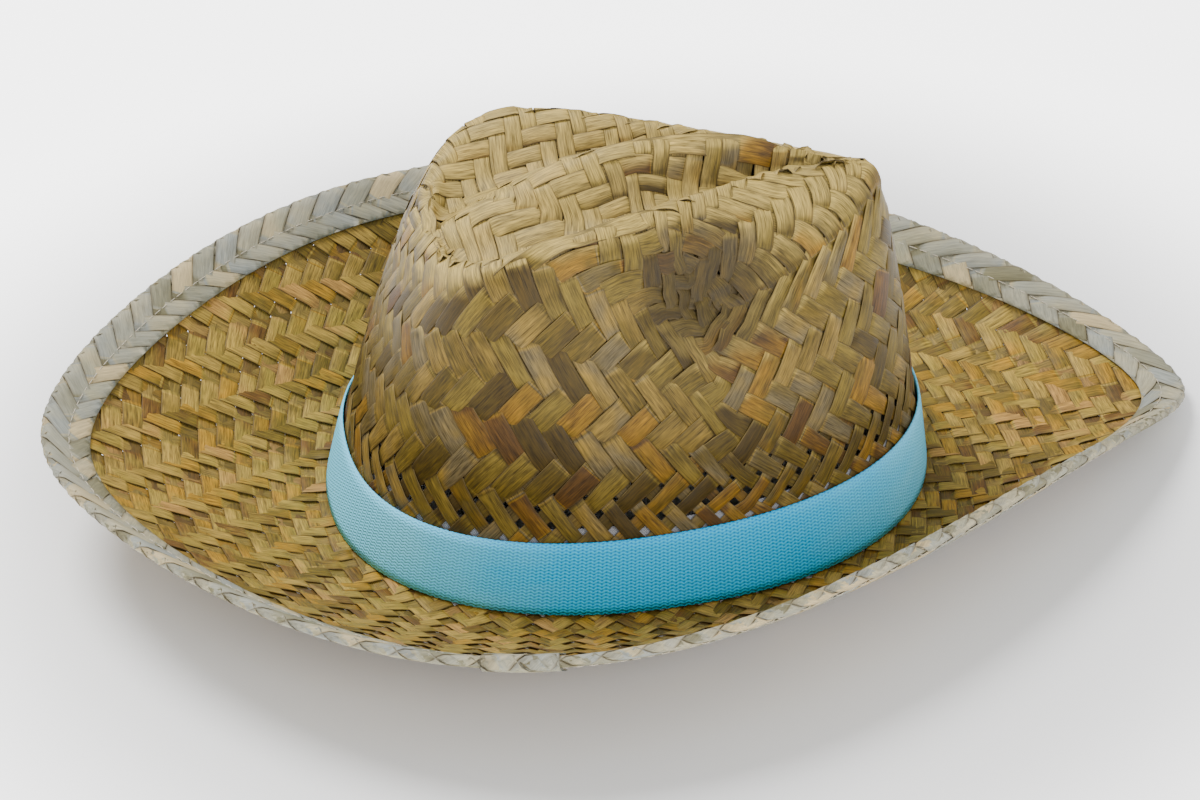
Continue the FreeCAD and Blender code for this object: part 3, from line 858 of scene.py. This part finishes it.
def straw_material(name, stops, edge_shade=0.8, dip_shade=0.35, roughness=0.55, painted_top_light=None,
                   contrast=1.0):
    """Dried leaf strips: tone per strip and per float, fine fibres, and painted shade at the
    edges and where a strip dips under.

    Optionally faces that look up are paler, painted light from above, and the creased
    places are darker, painted shade.
    """
    material, nodes, links, shader = new_material(name)
    attribute = nodes.new("ShaderNodeAttribute")
    attribute.attribute_name = "tone"
    split = nodes.new("ShaderNodeSeparateColor")
    links.new(attribute.outputs["Color"], split.inputs[0])
    uv, parts = strip_uv(nodes, links)
    strip = math_node(nodes, links, "MULTIPLY", split.outputs[0], 0.4)
    tone = math_node(nodes, links, "MULTIPLY_ADD", split.outputs[1], 0.6, strip)
    slow = noise_node(nodes, links, scaled(nodes, links, uv.outputs[0], (0.05, 0.25, 1)), 1.0)
    tone = math_node(nodes, links, "MULTIPLY_ADD", slow, 0.35, tone)
    tone = math_node(nodes, links, "MULTIPLY_ADD", tone, 1.35, -0.411)
    colour = ramp_node(nodes, links, tone, stops)
    if painted_top_light:
        # painted light from above: faces whose normal points up get a paler straw colour
        facing = nodes.new("ShaderNodeSeparateXYZ")
        geometry = nodes.new("ShaderNodeNewGeometry")
        links.new(geometry.outputs["Normal"], facing.inputs[0])
        top_light_mask = map_range(nodes, links, facing.outputs[2], 0.43, 0.74, 0.0, painted_top_light)
        colour = mix_node(nodes, links, "MIX", top_light_mask, colour, (0.50, 0.37, 0.11))
        # painted shade in the creases: near-black mixed in around each crumpled place
        for centre, reach in CRUMPLES:
            near = distance_node(nodes, links, centre)
            crease_shade = map_range(nodes, links, near, reach * 1.8 * MM, 0.5 * reach * MM, 0.0, 0.86)
            colour = mix_node(nodes, links, "MIX", crease_shade, colour, (0.040, 0.027, 0.007))
    fibre = noise_node(nodes, links, scaled(nodes, links, uv.outputs[0], (0.08, 4.2, 1)), 1.0, 4.0)
    fine = noise_node(nodes, links, scaled(nodes, links, uv.outputs[0], (0.22, 12.0, 1)), 1.0, 2.0)
    streak = math_node(nodes, links, "MULTIPLY_ADD", fine, 0.5, math_node(
        nodes, links, "MULTIPLY", fibre, 0.5))
    shade = ramp_node(nodes, links, streak, [(0.36, (0.34, 0.31, 0.24)), (0.49, (0.90, 0.90, 0.88)),
                                             (0.64, (1.60, 1.53, 1.36))])
    colour = mix_node(nodes, links, "MULTIPLY", contrast, colour, shade)
    # painted shade along each strip's edges, standing for the shadowed gaps between strips
    v = math_node(nodes, links, "ABSOLUTE", parts.outputs[1])
    edge = math_node(nodes, links, "MULTIPLY", math_node(
        nodes, links, "POWER", v, 11.0), edge_shade)
    colour = mix_node(nodes, links, "MIX", edge, colour, (0.075, 0.05, 0.02))
    # painted shade where a strip dips under its neighbour, read from the height in the tone attribute
    dip_shade_mask = math_node(nodes, links, "SUBTRACT", 1.0, split.outputs[2])
    dip_shade_mask = math_node(nodes, links, "MULTIPLY", math_node(
        nodes, links, "POWER", dip_shade_mask, 3.0), dip_shade)
    colour = mix_node(nodes, links, "MIX", dip_shade_mask, colour, (0.06, 0.042, 0.016))
    links.new(colour, shader.inputs["Base Color"])
    rough = math_node(nodes, links, "MULTIPLY_ADD", streak, 0.25, roughness - 0.12)
    links.new(rough, shader.inputs["Roughness"])
    shader.inputs["Specular IOR Level"].default_value = 0.25
    links.new(bump_node(nodes, links, streak, 0.55, 0.00035), shader.inputs["Normal"])
    return material


def webbing_material():
    """Light blue webbing: zigzag rows of small weft bumps, paler towards the hat's ends, a painted
    sheen where the band curves round.
    """
    material, nodes, links, shader = new_material("blue_webbing")
    uv, parts = strip_uv(nodes, links)
    warp = noise_node(nodes, links, scaled(nodes, links, uv.outputs[0], (0.35, 0.35, 1)), 1.0)
    column = math_node(nodes, links, "MULTIPLY", parts.outputs[0], 2 * PI / WEFT_PERIOD)
    zigzag = math_node(nodes, links, "SINE", column)
    row = math_node(nodes, links, "MULTIPLY_ADD", parts.outputs[1], 2 * PI / WEFT_ROW,
                    math_node(nodes, links, "MULTIPLY", zigzag, 1.5))
    row = math_node(nodes, links, "MULTIPLY_ADD", warp, 1.6, row)
    rib = math_node(nodes, links, "COSINE", math_node(
        nodes, links, "MULTIPLY", column, 2.0))
    wave = math_node(nodes, links, "MULTIPLY_ADD", rib, 0.35, math_node(
        nodes, links, "MULTIPLY", math_node(nodes, links, "SINE", row), 0.65))
    level = math_node(nodes, links, "MULTIPLY_ADD", wave, 0.5, 0.5)
    colour = ramp_node(nodes, links, level, [(0.05, (0.0, 0.27, 0.68)), (0.4, (0.0, 0.50, 0.96)),
                                             (0.95, (0.03, 0.66, 1.0))])
    # painted sheen: the blue is mixed towards a pale colour towards the front and back of the hat,
    # where the band curves round
    coord = nodes.new("ShaderNodeTexCoord")
    place = nodes.new("ShaderNodeSeparateXYZ")
    links.new(coord.outputs["Object"], place.inputs[0])
    broad = noise_node(nodes, links, scaled(nodes, links, uv.outputs[0], (0.03, 0.08, 1)), 1.0)
    ends = math_node(nodes, links, "MULTIPLY_ADD", broad, 0.05, math_node(
        nodes, links, "ABSOLUTE", place.outputs[0]))
    light = ramp_node(nodes, links, math_node(nodes, links, "MULTIPLY", ends, 6.0),
                      [(0.40, (0, 0, 0)), (0.72, (0.62, 0.62, 0.62))])
    colour = mix_node(nodes, links, "MIX", light, colour, (0.30, 0.80, 0.98))
    links.new(colour, shader.inputs["Base Color"])
    shader.inputs["Roughness"].default_value = 0.8
    shader.inputs["Specular IOR Level"].default_value = 0.06
    links.new(bump_node(nodes, links, wave, 0.6, 0.00025), shader.inputs["Normal"])
    return material


def cloth_material(name, colour, dark, period):
    """Plain woven cloth."""
    material, nodes, links, shader = new_material(name)
    uv, parts = strip_uv(nodes, links)
    waves = [math_node(nodes, links, "SINE", math_node(
        nodes, links, "MULTIPLY", parts.outputs[k], 2 * PI / period)) for k in (0, 1)]
    weave = math_node(nodes, links, "MULTIPLY", waves[0], waves[1])
    level = math_node(nodes, links, "MULTIPLY_ADD", weave, 0.5, 0.5)
    soil = noise_node(nodes, links, scaled(nodes, links, uv.outputs[0], (0.05, 0.1, 1)), 1.0)
    level = math_node(nodes, links, "MULTIPLY_ADD", soil, 0.5, math_node(
        nodes, links, "MULTIPLY", level, 0.5))
    links.new(ramp_node(nodes, links, level, [(0.15, dark), (0.75, colour)]),
              shader.inputs["Base Color"])
    shader.inputs["Roughness"].default_value = 0.85
    links.new(bump_node(nodes, links, weave, 0.5, 0.0002), shader.inputs["Normal"])
    return material


def thread_material(name, colour):
    material, nodes, links, shader = new_material(name)
    coord = nodes.new("ShaderNodeTexCoord")
    twist = noise_node(nodes, links, coord.outputs["Object"], 2600.0, 2.0)
    dark = tuple(c * 0.55 for c in colour)
    links.new(ramp_node(nodes, links, twist, [(0.35, dark), (0.62, colour)]),
              shader.inputs["Base Color"])
    shader.inputs["Roughness"].default_value = 0.7
    links.new(bump_node(nodes, links, twist, 0.5, 0.0001), shader.inputs["Normal"])
    return material


def wire_material():
    material, nodes, links, shader = new_material("steel_wire")
    coord = nodes.new("ShaderNodeTexCoord")
    scratch = noise_node(nodes, links, coord.outputs["Object"], 900.0, 4.0)
    links.new(ramp_node(nodes, links, scratch, [(0.3, (0.30, 0.30, 0.31)), (0.7, (0.55, 0.55, 0.56))]),
              shader.inputs["Base Color"])
    shader.inputs["Metallic"].default_value = 1.0
    links.new(math_node(nodes, links, "MULTIPLY_ADD", scratch, 0.25, 0.22),
              shader.inputs["Roughness"])
    return material


OLIVE_DARK, OLIVE, KHAKI = (0.085, 0.052, 0.006), (0.150, 0.100, 0.010), (0.27, 0.19, 0.028)
GOLD, TAN = (0.36, 0.19, 0.012), (0.36, 0.235, 0.045)
BROWN, PINK = (0.13, 0.060, 0.010), (0.38, 0.21, 0.05)
GREY = (0.20, 0.155, 0.075)


def darker(stops, share):
    return [(position, tuple(c * share for c in colour)) for position, colour in stops]


CROWN_TONES = [(0.02, OLIVE_DARK), (0.20, OLIVE), (0.34, KHAKI), (0.44, OLIVE), (0.56, TAN),
               (0.64, GREY), (0.74, OLIVE), (0.84, GOLD), (0.97, BROWN)]
BRIM_TONES = [(0.02, OLIVE), (0.14, BROWN), (0.26, KHAKI), (0.42, TAN), (0.54, OLIVE),
              (0.66, GOLD), (0.78, KHAKI), (0.90, TAN), (0.98, PINK)]
BRAID_TONES = [(0.05, (0.19, 0.175, 0.10)), (0.30, (0.30, 0.295, 0.23)), (0.45, (0.38, 0.34, 0.22)),
               (0.62, (0.27, 0.285, 0.26)), (0.78, (0.33, 0.31, 0.21)), (0.95, (0.50, 0.40, 0.22))]


# ---- pieces ------------------------------------------------------------------------------
def make_hat():
    # the crown's straw gets painted light from above on its upward faces and painted shade at its
    # creases
    crown_straw = straw_material("seagrass_straw", darker(CROWN_TONES, 0.60), painted_top_light=0.72)
    brim_straw = straw_material("seagrass_straw_brim", BRIM_TONES)
    braid = straw_material("pale_braid", BRAID_TONES, 0.8, 0.25, 0.5, contrast=0.4)
    thread = thread_material("natural_thread", (0.62, 0.55, 0.42))
    blue_thread = thread_material("blue_thread", (0.03, 0.42, 0.66))
    webbing = webbing_material()
    cloth = cloth_material("sweatband_cloth", (0.36, 0.36, 0.38), (0.22, 0.22, 0.24), 0.9)

    crown_strips(True).build("crown_straw_crosswise", crown_straw, "hat", "seagrass_straw",
                             ["crown_body"])
    crown_strips(False).build("crown_straw_lengthwise", crown_straw, "hat", "seagrass_straw",
                              ["crown_body"])
    brim_strips(True).build("brim_straw_backward", brim_straw, "hat", "seagrass_straw",
                            ["brim_body"])
    brim_strips(False).build("brim_straw_forward", brim_straw, "hat", "seagrass_straw",
                             ["brim_body"])
    braid_strips().build("edge_braid", braid, "hat", "pale_braid", ["brim_edge_binding"])
    join = float(np.interp(JOIN_PHI, edge_phi, edge_length))
    braid_strips(join - JOIN_LENGTH / 2, join + JOIN_LENGTH / 2, BRAID_THICK * 0.95).build(
        "edge_braid_end", braid, "hat", "pale_braid", ["binding_join"])
    for side, name, node in ((1, "edge_stitches_top", "binding_thread_top"),
                             (-1, "edge_stitches_under", "binding_thread_under")):
        stitch_row(braid_stitch_path(side), 0.17, 3.6, 0.9, 0.55).build(
            name, thread, "hat", "natural_thread", [node])

    band, length = tape(BAND_Z0, BAND_Z0 + BAND_WIDTH, BAND_CLEAR, BAND_THICK, 1401, 9,
                        0.16, 2.1)
    band = band.build("webbing_band", webbing, "hatband_loop", "blue_webbing", ["hatband"])
    span = OVERLAP_LENGTH / NECK[1] / 2.0
    lap, lap_length = tape(BAND_Z0 + 0.3, BAND_Z0 + BAND_WIDTH - 0.3,
                           BAND_CLEAR + BAND_THICK + 0.05, BAND_THICK, 71, 9, 0.16, 2.1,
                           (OVERLAP_PHI - span, OVERLAP_PHI + span))
    lap = lap.build("webbing_overlap", webbing, "hatband_loop", "blue_webbing",
                    ["hatband_overlap"])
    tacks = bartacks().build("webbing_bartacks", blue_thread, "hatband_loop", "blue_thread",
                             ["hatband_stitches"])
    inner = -STRAW_THICK - SWEAT_GAP - SWEAT_THICK
    sweat, length = tape(SWEAT_Z0, SWEAT_Z0 + SWEAT_HEIGHT, inner, SWEAT_THICK, 700, 9,
                         0.08, 1.8)
    sweat = sweat.build("sweatband_tape", cloth, "hat", "sweatband_cloth", ["sweatband"])
    seam = stitch_row(sweat_stitch_path, 0.17, 3.2, 0.9, 0.4).build(
        "sweatband_stitches", thread, "hat", "natural_thread", ["sweatband_thread"])

    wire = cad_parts["brim_wire"]
    wire.data.materials.clear()
    wire.data.materials.append(wire_material())


# ---- stage -------------------------------------------------------------------------------
FLOOR_HALF = 3.0
FLOOR_GLOW = (0.18, 0.33, 0.0, 2.9)       # the floor gives off light only away from the hat
CAMERA_ANGLES = (33.40, 10.64, 1.52)      # elevation, yaw and roll in degrees
CAMERA_DISTANCE = 1.1


def make_stage(low):
    size = FLOOR_HALF
    mesh = bpy.data.meshes.new("floor")
    mesh.from_pydata([(-size, -size, low), (size, -size, low), (size, size, low),
                      (-size, size, low)], [], [(0, 1, 2, 3)])
    material, nodes, links, shader = new_material("floor")
    shader.inputs["Base Color"].default_value = (0.93, 0.93, 0.93, 1.0)
    shader.inputs["Emission Color"].default_value = (1.0, 1.0, 1.0, 1.0)
    coord = nodes.new("ShaderNodeTexCoord")
    length = nodes.new("ShaderNodeVectorMath")
    length.operation = "LENGTH"
    links.new(coord.outputs["Object"], length.inputs[0])
    links.new(map_range(nodes, links, length.outputs["Value"], *FLOOR_GLOW),
              shader.inputs["Emission Strength"])
    shader.inputs["Roughness"].default_value = 0.9
    mesh.materials.append(material)
    floor = bpy.data.objects.new("floor", mesh)
    bpy.context.scene.collection.objects.link(floor)
    world = bpy.data.worlds.new("studio")
    world.use_nodes = True
    world.node_tree.nodes["Background"].inputs[0].default_value = (1.0, 1.0, 1.0, 1.0)
    world.node_tree.nodes["Background"].inputs[1].default_value = 0.8
    bpy.context.scene.world = world


def area_light(name, place, target, size, power):
    data = bpy.data.lights.new(name, "AREA")
    data.shape, data.size, data.energy = "DISK", size, power
    lamp = bpy.data.objects.new(name, data)
    lamp.location = place
    lamp.rotation_euler = (Vector(target) - Vector(place)).to_track_quat("-Z", "Y").to_euler()
    bpy.context.scene.collection.objects.link(lamp)


def make_camera():
    """Looks down 33 degrees at the near side, with the front tip to the right."""
    elevation, yaw, roll = map(math.radians, CAMERA_ANGLES)
    look = Vector((math.sin(yaw) * math.cos(elevation), math.cos(yaw) * math.cos(elevation),
                   -math.sin(elevation)))
    right = Vector((math.cos(yaw), -math.sin(yaw), 0.0))
    up = Vector((math.sin(yaw) * math.sin(elevation), math.cos(yaw) * math.sin(elevation),
                 math.cos(elevation)))
    turned_right = right * math.cos(roll) - up * math.sin(roll)
    turned_up = right * math.sin(roll) + up * math.cos(roll)
    data = bpy.data.cameras.new("camera")
    data.sensor_width, data.lens = 36.0, 95.85
    data.shift_x, data.shift_y = -0.0200, -0.0239
    camera = bpy.data.objects.new("camera", data)
    place = Vector((CENTRE_X * MM, 0.0, 0.040)) - look * CAMERA_DISTANCE
    camera.matrix_world = Matrix.Translation(place) @ Matrix(
        (turned_right, turned_up, -look)).transposed().to_4x4()
    bpy.context.scene.collection.objects.link(camera)
    bpy.context.scene.camera = camera


make_hat()
make_stage(first_bounds[0][2] - 0.0002)
area_light("key", (-0.6, 0.8, 1.6), (0, 0, 0.05), 0.9, 44.0)
area_light("fill", (0.3, -1.5, 0.75), (0, 0, 0.03), 1.2, 17.0)
make_camera()
